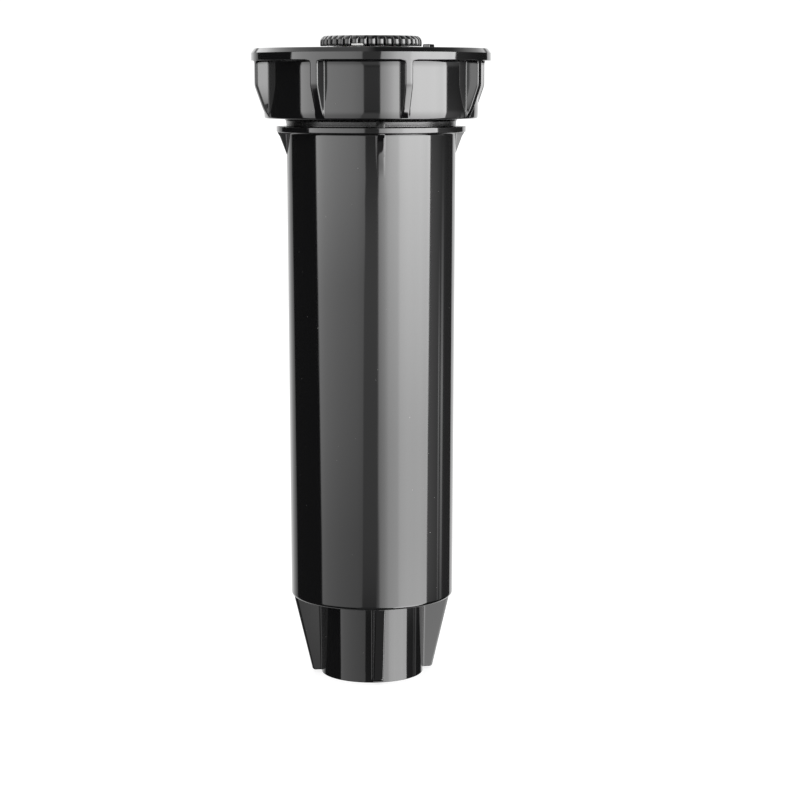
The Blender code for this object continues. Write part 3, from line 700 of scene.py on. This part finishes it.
def make_cap_oring():
    radius, low, high = span("cap_oring")
    return dress(o_ring("cap_seal", radius, low, high), "cap_oring", "case_body", "seal_rubber")


def make_guide_bush():
    outline = [
        (BUSH_R, BUSH_TOP, 0.2),
        (BUSH_R, 138.45, 0.15),
        (10.9, 138.45, 0.4),
        (10.9, BUSH_LOW, 0.4),
        (9.4, BUSH_LOW, 0.3),
        (9.4, BUSH_TOP, 0.3),
    ]
    return dress(turned("stem_bush", outline), "guide_bush", "case_body", "pale_acetal")


def make_retract_spring():
    """A compression spring with closed ends, from the ratchet ring up to the guide bush."""
    wire, turns, per_turn = 0.55, 12, 48
    middle = SPRING_R - wire
    low, high = SPRING_LOW + wire, SPRING_TOP - wire
    end_pitch = 2 * wire + 0.12
    open_pitch = (high - low - 2 * end_pitch) / (turns - 2)
    path = []
    for i in range(turns * per_turn + 1):
        turn = i / per_turn
        closed = min(turn, 1.0) + max(turn - (turns - 1), 0.0)
        z = low + end_pitch * closed + open_pitch * (turn - closed)
        path.append((math.cos(FULL_TURN * turn) * middle, math.sin(FULL_TURN * turn) * middle, z))
    spring = swept("coil_spring", path, wire)
    dress(spring, "retract_spring", "case_body", "stainless", sharp=50)
    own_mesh(spring)
    return spring


# ---------------------------------------------------------------- the riser


def ratchet_wave(root, tip):
    """A shape that raises face teeth from the flat at the root's height."""

    def shape(angle, radius, height):
        share = np.mod(angle / FULL_TURN * RATCHET_TEETH, 1)
        rise = 1 - abs(2 * share - 1)
        face = (abs(height - root) < 1e-4) & (radius > 12.45) & (radius < 15.55)
        return radius, np.where(face, root + (tip - root) * rise, height)

    return shape


def both(first, second):
    """A shape that applies two shapes, one after the other."""

    def shape(angle, radius, height):
        return second(angle, *first(angle, radius, height))

    return shape


def make_ratchet_ring():
    web, tip = 24.6, RING_LOW
    outline = [
        (RING_R, RING_TOP, 0.15),
        (RING_R, web, 0.15),
        (15.6, web),
        (15.5, web),
        (12.5, web),
        (12.4, web),
        (9.4, web, 0.15),
        (9.4, 28.0, 0.2),
        (10.6, 28.0, 0.2),
        (10.6, 26.2, 0.3),
        (15.9, 26.2, 0.3),
        (15.9, RING_TOP, 0.2),
    ]
    ring = turned("ratchet_ring_moulding", outline, 160, ratchet_wave(web, tip))
    slots = block(16.15, 19.0, 23.0, 31.0, 2.4, evenly(4, math.pi / 4))
    combined(ring, slots, "DIFFERENCE")
    return dress(ring, "ratchet_ring", "ratchet", "pale_acetal")


def make_riser_stem():
    flange_top = STEM_LOW + 2.0
    root = flange_top - 0.05
    outline = [(7.3, STEM_TOP, 0.15)]
    outline += thread_rows(STEM_THREAD, 144.9, 140.9)
    outline += [
        (7.3, 140.5),
        (7.3, 139.1, 0.2),
        (9.0, 139.1, 0.2),
        (9.0, flange_top, 0.5),
        (12.4, flange_top),
        (12.5, root),
        (15.5, root),
        (15.6, flange_top),
        (FLANGE_R, flange_top),
        (FLANGE_R, STEM_LOW, 0.2),
        (7.2, STEM_LOW, 0.15),
        (7.2, 137.0, 0.5),
        (6.3, 138.0, 0.5),
        (6.3, STEM_TOP, 0.1),
    ]
    shape = both(winding(STEM_THREAD), ratchet_wave(root, flange_top + RATCHET_HEIGHT))
    return dress(turned("stem_tube", outline, 160, shape), "riser_stem", "riser", "stem_plastic")


def make_valve_carrier():
    disc = [
        (CARRIER_R, 18.3, 0.2),
        (CARRIER_R, CARRIER_LOW, 0.2),
        (0.95, CARRIER_LOW),
        (0.95, 18.9),
        (2.2, 18.9, 0.2),
        (2.2, 18.3, 0.2),
    ]
    carrier = turned("valve_carrier_moulding", disc, 96)
    ring = turned("ring", [(7.0, 26.0, 0.2), (7.0, 22.0, 0.2), (5.6, 22.0, 0.2), (5.6, 26.0, 0.2)], 96)
    combined(carrier, ring, "UNION")
    combined(carrier, block(5.7, 6.8, 17.6, 22.8, 2.5, evenly(3), bevel=0.15), "UNION")
    return dress(carrier, "valve_carrier", "riser", "pale_acetal")


def make_valve_washer():
    outline = [
        (WASHER_R, WASHER_TOP, 0.25),
        (WASHER_R, WASHER_LOW, 0.25),
        (1.05, WASHER_LOW),
        (1.05, WASHER_TOP),
    ]
    return dress(turned("washer_disc", outline, 96), "valve_washer", "riser", "seal_rubber")


def make_valve_screw():
    outline = [
        (0, PIN_TOP),
        (0.75, PIN_TOP, 0.15),
        (0.75, 15.55),
        (PIN_R, 15.55, 0.1),
        (1.9, 14.9, 0.3),
        (1.2, PIN_LOW, 0.4),
        (0, PIN_LOW),
    ]
    screw = turned("washer_screw", outline, 64)
    combined(screw, block(-2.5, 2.5, 14.0, 15.0, 0.45, [0.0]), "DIFFERENCE")
    return dress(screw, "valve_screw", "riser", "stainless")


# ---------------------------------------------------------------- the nozzle


def make_nozzle_gasket():
    outline = [
        (GASKET_R, GASKET_TOP, 0.12),
        (GASKET_R, GASKET_LOW, 0.12),
        (6.4, GASKET_LOW, 0.12),
        (6.4, GASKET_TOP, 0.12),
    ]
    return dress(turned("gasket_ring", outline, 96), "nozzle_gasket", "riser", "seal_rubber")


def make_filter_screen():
    """The filter basket: a clamped flange and a tapered wall with three rows of tall windows."""
    outline = [
        (0, 120.1),
        (3.8, 120.1, 0.3),
        (4.7, 146.4),
        (4.9, FILTER_TOP, 0.1),
        (FILTER_R, FILTER_TOP, 0.1),
        (FILTER_R, 146.35, 0.1),
        (5.4, 146.35, 0.2),
        (4.6, 119.8),
        (4.2, FILTER_LOW, 0.2),
        (0, FILTER_LOW),
    ]
    basket = turned("filter_basket", outline, 96)
    for low in (121.5, 129.2, 136.9):
        combined(basket, block(2.5, 7.0, low, low + 6.5, 1.7, evenly(6), bevel=0.3), "DIFFERENCE")
    return dress(basket, "filter_screen", "riser", "pale_acetal")


def make_nozzle_base():
    outline = [(7.5, BASE_TOP, 0.1), (7.5, 152.05, 0.1), (BASE_R, 152.05, 0.15), (BASE_R, BASE_LOW, 0.25)]
    outline += [(8.3, BASE_LOW, 0.15), (8.3, 140.5)]
    outline += thread_rows(BASE_THREAD, 140.9, 144.9)
    outline += [
        (8.1, 145.2),
        (8.1, 147.3, 0.15),
        (2.75, 147.3, 0.1),
        (2.75, 148.6, 0.1),
        (5.5, 148.6, 0.3),
        (5.5, BASE_TOP, 0.1),
    ]
    base = turned("nozzle_body", outline, 128, winding(BASE_THREAD))
    for angle in evenly(6, math.radians(28)):
        port = turned("port", [(0, 149.5), (0.5, 149.5), (0.5, 146.5), (0, 146.5)], 24)
        port.data.transform(Matrix.Rotation(angle, 4, "Z") @ Matrix.Translation((3.8 * MM, 0, 0)))
        combined(base, port, "DIFFERENCE")
    combined(base, block(3.3, 4.25, 141.9, 147.6, 0.9, evenly(2), bevel=0.1), "UNION")
    combined(base, block(7.2, 8.75, 151.8, 152.6, STOP_WIDTH, [STOP_ANGLE], bevel=0.1), "UNION")
    return dress(base, "nozzle_base", "riser", "nozzle_base_plastic")


def serration(angle, radius, height):
    """Round teeth with sharp valleys on the collar's wall. They fade out up the bevel and at the foot."""
    across = 2 * np.mod(TEETH * angle / FULL_TURN, 1) - 1
    groove = 1 - np.sqrt(np.maximum(1 - across**2, 0))
    outward = np.clip((radius - 11.05) / (COLLAR_R - 11.05), 0, 1)
    return radius - TOOTH_DEPTH * groove * outward, height


def make_arc_collar():
    outline = [
        (11.2, COLLAR_TOP, 0.08),
        (11.7, 154.4),
        (COLLAR_R - 0.08, 153.85, 0.2),
        (COLLAR_R, 153.2),
        (COLLAR_R, 152.6),
        (12.0, COLLAR_LOW, 0.08),
        (9.1, COLLAR_LOW, 0.1),
        (9.1, 152.85, 0.1),
        (7.8, 152.85, 0.1),
        (7.8, 153.4, 0.1),
        (10.3, COLLAR_TOP, 0.1),
    ]
    collar = turned("arc_ring", outline, TEETH * 14, serration)
    tab = block(7.95, 9.4, COLLAR_LOW + 0.02, 153.0, STOP_WIDTH, [STOP_ANGLE + STOP_START], bevel=0.08)
    combined(collar, tab, "UNION")
    notch = block(11.0, 13.0, 151.5, INDEX_TOP + 0.12, INDEX_WIDTH + 0.25, [INDEX_ANGLE], bevel=0.12)
    combined(collar, notch, "DIFFERENCE")
    # The raised pad that the nozzle plastic paints white as painted light.
    mark = block(10.5, INDEX_R, COLLAR_LOW + 0.01, INDEX_TOP, INDEX_WIDTH, [INDEX_ANGLE], bevel=0.1)
    combined(collar, mark, "UNION")
    combined(collar, block(10.7, 13.0, 154.45, 155.5, 0.8, [INDEX_ANGLE], bevel=0.1), "DIFFERENCE")
    return dress(collar, "arc_collar", "collar", "nozzle_plastic")


def make_deflector():
    outline = [
        (2.0, DISC_TOP, 0.15),
        (9.0, DISC_TOP, 0.1),
        (DISC_R, 154.4, 0.05),
        (6.9, 153.7, 0.3),
        (3.5, 153.45, 0.3),
        (3.5, 148.75, 0.1),
        (2.5, 148.75, 0.1),
        (2.5, 147.15),
        (3.0, 147.15, 0.1),
        (3.0, 146.7),
        (2.6, DISC_LOW),
        (1.4, DISC_LOW, 0.1),
        (1.4, 149.6),
        (2.1, 149.6, 0.1),
        (2.1, 150.5, 0.1),
        (1.4, 150.5),
        (1.4, 153.55),
        (2.0, 153.55),
    ]
    return dress(turned("spray_disc", outline, 128), "deflector", "riser", "nozzle_plastic")


def make_screw_oring():
    radius, low, high = span("screw_oring")
    return dress(o_ring("screw_seal", radius, low, high, count=8), "screw_oring", "riser", "seal_rubber")


def make_adjust_screw():
    """The slotted screw, with a fine thread on the stretch that the plug climbs."""
    shank_r, groove_r, pitch = 1.15, 0.85, 0.7
    thread = (shank_r - 0.06, pitch, 0.06, 142.0, CLIP_LOW - GAP - 0.2)
    outline = [
        (0, SCREW_TOP),
        (1.6, SCREW_TOP, 0.12),
        (HEAD_R, 154.15, 0.05),
        (HEAD_R, 153.75, 0.08),
        (shank_r, 153.75),
        (shank_r, CLIP_TOP + GAP),
        (groove_r, CLIP_TOP + GAP),
        (groove_r, CLIP_LOW - GAP),
        (thread[0], CLIP_LOW - GAP),
    ]
    outline += thread_rows(thread, thread[4], thread[3], per_pitch=8)
    outline += [(0.9, SCREW_LOW, 0.08), (0, SCREW_LOW)]
    screw = turned("radius_screw_pin", outline, 64, winding(thread))
    combined(screw, block(-2.5, 2.5, 153.95, 155.0, 0.5, [math.radians(25)]), "DIFFERENCE")
    return dress(screw, "adjust_screw", "screw", "stainless")


def make_screw_clip():
    outline = [
        (CLIP_R, CLIP_TOP, 0.06),
        (CLIP_R, CLIP_LOW, 0.06),
        (1.0, CLIP_LOW, 0.06),
        (1.0, CLIP_TOP, 0.06),
    ]
    clip = turned("open_clip", outline, 64)
    mouth = block(0.0, 3.0, CLIP_LOW - 1, CLIP_TOP + 1, 1.3, [math.radians(70)])
    combined(clip, mouth, "DIFFERENCE")
    return dress(clip, "screw_clip", "screw", "stainless")


def make_throttle_plug():
    outline = [
        (3.9, PLUG_TOP, 0.1),
        (PLUG_R, PLUG_TOP - 0.3, 0.1),
        (PLUG_R, PLUG_LOW, 0.2),
        (1.4, PLUG_LOW),
        (1.4, 143.2),
        (3.2, 143.2, 0.3),
        (3.2, PLUG_TOP, 0.1),
    ]
    plug = turned("climbing_plug", outline, 96)
    combined(plug, block(3.0, 5.0, 141.0, 146.0, 1.4, evenly(2)), "DIFFERENCE")
    return dress(plug, "throttle_plug", "throttle", "pale_acetal")


# ---------------------------------------------------------------- studio and camera

# The camera's direction from the axis, the studio drum's radius, and the height that its angles are
# measured from. The lengths are in metres.
CAMERA_TURN = math.radians(-96)
WALL_R = 1.2
MIDDLE_HEIGHT = 0.09


def glow_finish():
    """Light that a surface gives off, as strong as its points say."""
    material = bpy.data.materials.new("studio_glow")
    material.use_nodes = True
    nodes, links = material.node_tree.nodes, material.node_tree.links
    nodes.clear()
    strength = nodes.new("ShaderNodeAttribute")
    strength.attribute_name = "glow"
    light = nodes.new("ShaderNodeEmission")
    out = nodes.new("ShaderNodeOutputMaterial")
    links.new(strength.outputs["Fac"], light.inputs["Strength"])
    links.new(light.outputs["Emission"], out.inputs["Surface"])
    return material


def only_reflected(obj):
    """The camera and the diffuse light don't see it: it only shows in gloss."""
    obj.visible_camera = obj.visible_diffuse = obj.visible_shadow = False
    obj.visible_transmission = obj.visible_volume_scatter = False


def glowing(name, points, faces, glow, material):
    mesh = bpy.data.meshes.new(name)
    mesh.from_pydata(points, [], faces)
    mesh.attributes.new("glow", "FLOAT", "POINT").data.foreach_set("value", np.array(glow, np.float32))
    mesh.materials.append(material)
    obj = bpy.data.objects.new(name, mesh)
    bpy.context.scene.collection.objects.link(obj)
    only_reflected(obj)
    return obj


def patch(turn, rise, left, right, low, high, level):
    """Level inside a soft-edged region, from left to right round the studio and from low to high."""
    sides = np.clip((turn - left) / 0.8 + 0.5, 0, 1) * np.clip((right - turn) / 0.8 + 0.5, 0, 1)
    ends = np.clip((rise - low) / 3 + 0.5, 0, 1) * np.clip((high - rise) / 3 + 0.5, 0, 1)
    return level * sides * ends


def brightness(turn, rise):
    """The studio's brightness, by degrees to the camera's right and degrees up.

    It has two tall soft boxes, the gap between them, dark flags at the sides, a white backdrop, and a bank of
    light high on the left.
    """
    left_box = np.interp(turn, (-80, -66, -45, -20, -10), (5.2, 4.3, 3.7, 3.1, 2.6))
    left_box = left_box * np.interp(
        rise, (-30, -14.4, -10.6, -5.2, -0.5, 3), (0.3, 0.42, 0.55, 0.66, 1.0, 1.05)
    )
    left_from = np.interp(rise, (-14.4, -0.5, 3), (-74.8, -79.3, -79.8))
    left_to = np.interp(rise, (-35, -16, -10.6, -5.6, -3, 0), (-25, -13, -11.6, -10.2, -8.2, -7.8))
    gap = np.interp(
        rise,
        (-50, -30, -17.5, -16, -5, -2.5, -0.7, 1, 2),
        (0.3, 0.3, 0.1, 0.7, 0.9, 0.85, 0.4, 0.3, 0.55),
    )

    right_box = np.interp(
        turn,
        (9, 12, 17, 25, 36, 39, 43, 51, 61, 70, 80, 86),
        (4.0, 4.6, 5.8, 8.2, 9.2, 11.0, 11.4, 11.8, 11.4, 11.2, 9.9, 10.3),
    )
    right_box = right_box * np.interp(
        rise, (-45, -30, -14.4, -10.6, -5.2, -1, 1.5, 3), (0.95, 0.8, 0.68, 0.71, 0.9, 1.05, 1.18, 1.2)
    )
    right_from = np.interp(rise, (-42, -34, -24, -17, -14.5, 0), (37, 22, 7, 6, 8.8, 9.4))
    low_corner = np.clip((11.5 - turn) / 3, 0, 1) * np.clip((-13.5 - rise) / 1.5, 0, 1)
    right_box = right_box * (1 - 0.65 * low_corner)
    right_to = np.interp(rise, (-14.4, -0.5), (83.8, 86.8))

    beside = np.interp(turn, (87, 96, 104, 112, 125, 144), (1.1, 0.8, 0.55, 0.3, 0.12, 0.05))
    beside = beside * np.interp(rise, (-18, -16, 0, 1.5), (0.15, 0.85, 1.0, 0.3))
    streaks = np.interp(rise, (-17, -14.5, -9, -5, -0.5), (0.4, 0.9, 1.5, 0.8, 0.0))
    back_to = np.interp(rise, (-14.4, -0.5), (-132, -136.4))
    back = 1.2 * np.interp(turn, (-155, -143, -133), (1.0, 0.68, 0.3))
    high = np.interp(
        turn,
        (-180, -154, -138, -123, -105, -84, -10, 0, 10, 90, 112, 126, 140, 153, 180),
        (1.3, 2.5, 3.6, 2.7, 1.6, 1.1, 1.0, 0.5, 0.1, 0.15, 0.35, 1.1, 1.35, 1.8, 1.3),
    )
    front = abs(turn) < 100
    return (
        patch(turn, rise, left_from, left_to, -30, 42, left_box)
        + patch(turn, rise, left_to, right_from, -48, 42, gap)
        + patch(turn, rise, right_from, right_to, -50, 42, right_box)
        + patch(turn, rise, right_to, 144, -25, 18, beside)
        + patch(turn, rise, 111.5, 117, -25, 0, streaks)
        + patch(turn, rise, 105.5, 108, -25, -5, streaks)
        + patch(turn, rise, 146, 200, -75, 16, 1.2)
        + patch(turn, rise, -200, back_to, -75, 16, back)
        + patch(turn, rise, -200, 200, np.where(front, 42, 19), 100, high)
        + 0.02
    )


def make_reflections():
    """The studio as the glossy plastic sees it: a drum of light round the object, closed above and below."""
    turns = np.arange(-180, 180, 1.0)
    heights = np.linspace(-1.5, 1.3, 71)
    bottom, lid = [(0.05, -1.5), (0.6, -1.5)], [(0.8, 1.5), (0.4, 1.6), (0.05, 1.62)]
    radius, height = np.array(bottom + [(WALL_R, h) for h in heights] + lid).T
    rise = np.degrees(np.arctan2(height - MIDDLE_HEIGHT, radius))
    angle = CAMERA_TURN + np.radians(turns)[:, None]
    shape = len(turns), len(radius)
    x, y = radius * np.cos(angle), radius * np.sin(angle)
    points = np.stack([x, y, np.broadcast_to(height, shape)], axis=-1)
    here = np.arange(len(turns) * len(radius)).reshape(shape)
    across = np.roll(here, -1, axis=0)
    faces = np.stack([here[:, :-1], across[:, :-1], across[:, 1:], here[:, 1:]], axis=-1).reshape(-1, 4)
    glow = brightness(*np.meshgrid(turns, rise, indexing="ij"))
    glowing("studio_drum", points.reshape(-1, 3).tolist(), faces.tolist(), glow.ravel(), glow_finish())


def make_floor():
    """A plain white floor that runs out of the picture."""
    half_side = 8
    mesh = bpy.data.meshes.new("floor")
    corners = [(-half_side, -half_side, 0), (half_side, -half_side, 0)]
    corners += [(half_side, half_side, 0), (-half_side, half_side, 0)]
    mesh.from_pydata(corners, [], [(0, 1, 2, 3)])
    material = bpy.data.materials.new("floor")
    material.use_nodes = True
    shader = material.node_tree.nodes["Principled BSDF"]
    shader.inputs["Base Color"].default_value = (0.35, 0.35, 0.35, 1)
    shader.inputs["Roughness"].default_value = 1.0
    shader.inputs["Specular IOR Level"].default_value = 0.0
    shader.inputs["Emission Color"].default_value = (1, 1, 1, 1)
    shader.inputs["Emission Strength"].default_value = 0.8
    mesh.materials.append(material)
    floor = bpy.data.objects.new("floor", mesh)
    bpy.context.scene.collection.objects.link(floor)
    floor.visible_glossy = False
    floor.visible_diffuse = False


def make_light():
    """White all round for the background and the diffuse light."""
    world = bpy.data.worlds.new("studio")
    world.use_nodes = True
    world.node_tree.nodes["Background"].inputs["Color"].default_value = (1, 1, 1, 1)
    world.node_tree.nodes["Background"].inputs["Strength"].default_value = 1.1
    bpy.context.scene.world = world
    bpy.context.scene.view_settings.view_transform = "Standard"


def make_camera():
    data = bpy.data.cameras.new("camera")
    data.sensor_width = 36.0
    data.lens = 99.0
    data.clip_start, data.clip_end = 0.01, 50
    camera = bpy.data.objects.new("camera", data)
    bpy.context.scene.collection.objects.link(camera)
    distance, height = 0.53, 0.1434
    aside, down = math.radians(0.745), math.radians(8.165)
    camera.location = (distance * math.cos(CAMERA_TURN), distance * math.sin(CAMERA_TURN), height)
    camera.rotation_euler = (math.pi / 2 - down, 0, CAMERA_TURN + math.pi / 2 - aside)
    bpy.context.scene.camera = camera


make_camera()
make_light()
make_floor()
make_reflections()

make_case()
make_cap()
make_wiper_seal()
make_cap_oring()
make_guide_bush()
make_retract_spring()
make_ratchet_ring()
make_riser_stem()
make_valve_carrier()
make_valve_washer()
make_valve_screw()
make_nozzle_gasket()
make_filter_screen()
make_nozzle_base()
make_arc_collar()
make_deflector()
make_screw_oring()
make_adjust_screw()
make_screw_clip()
make_throttle_plug()
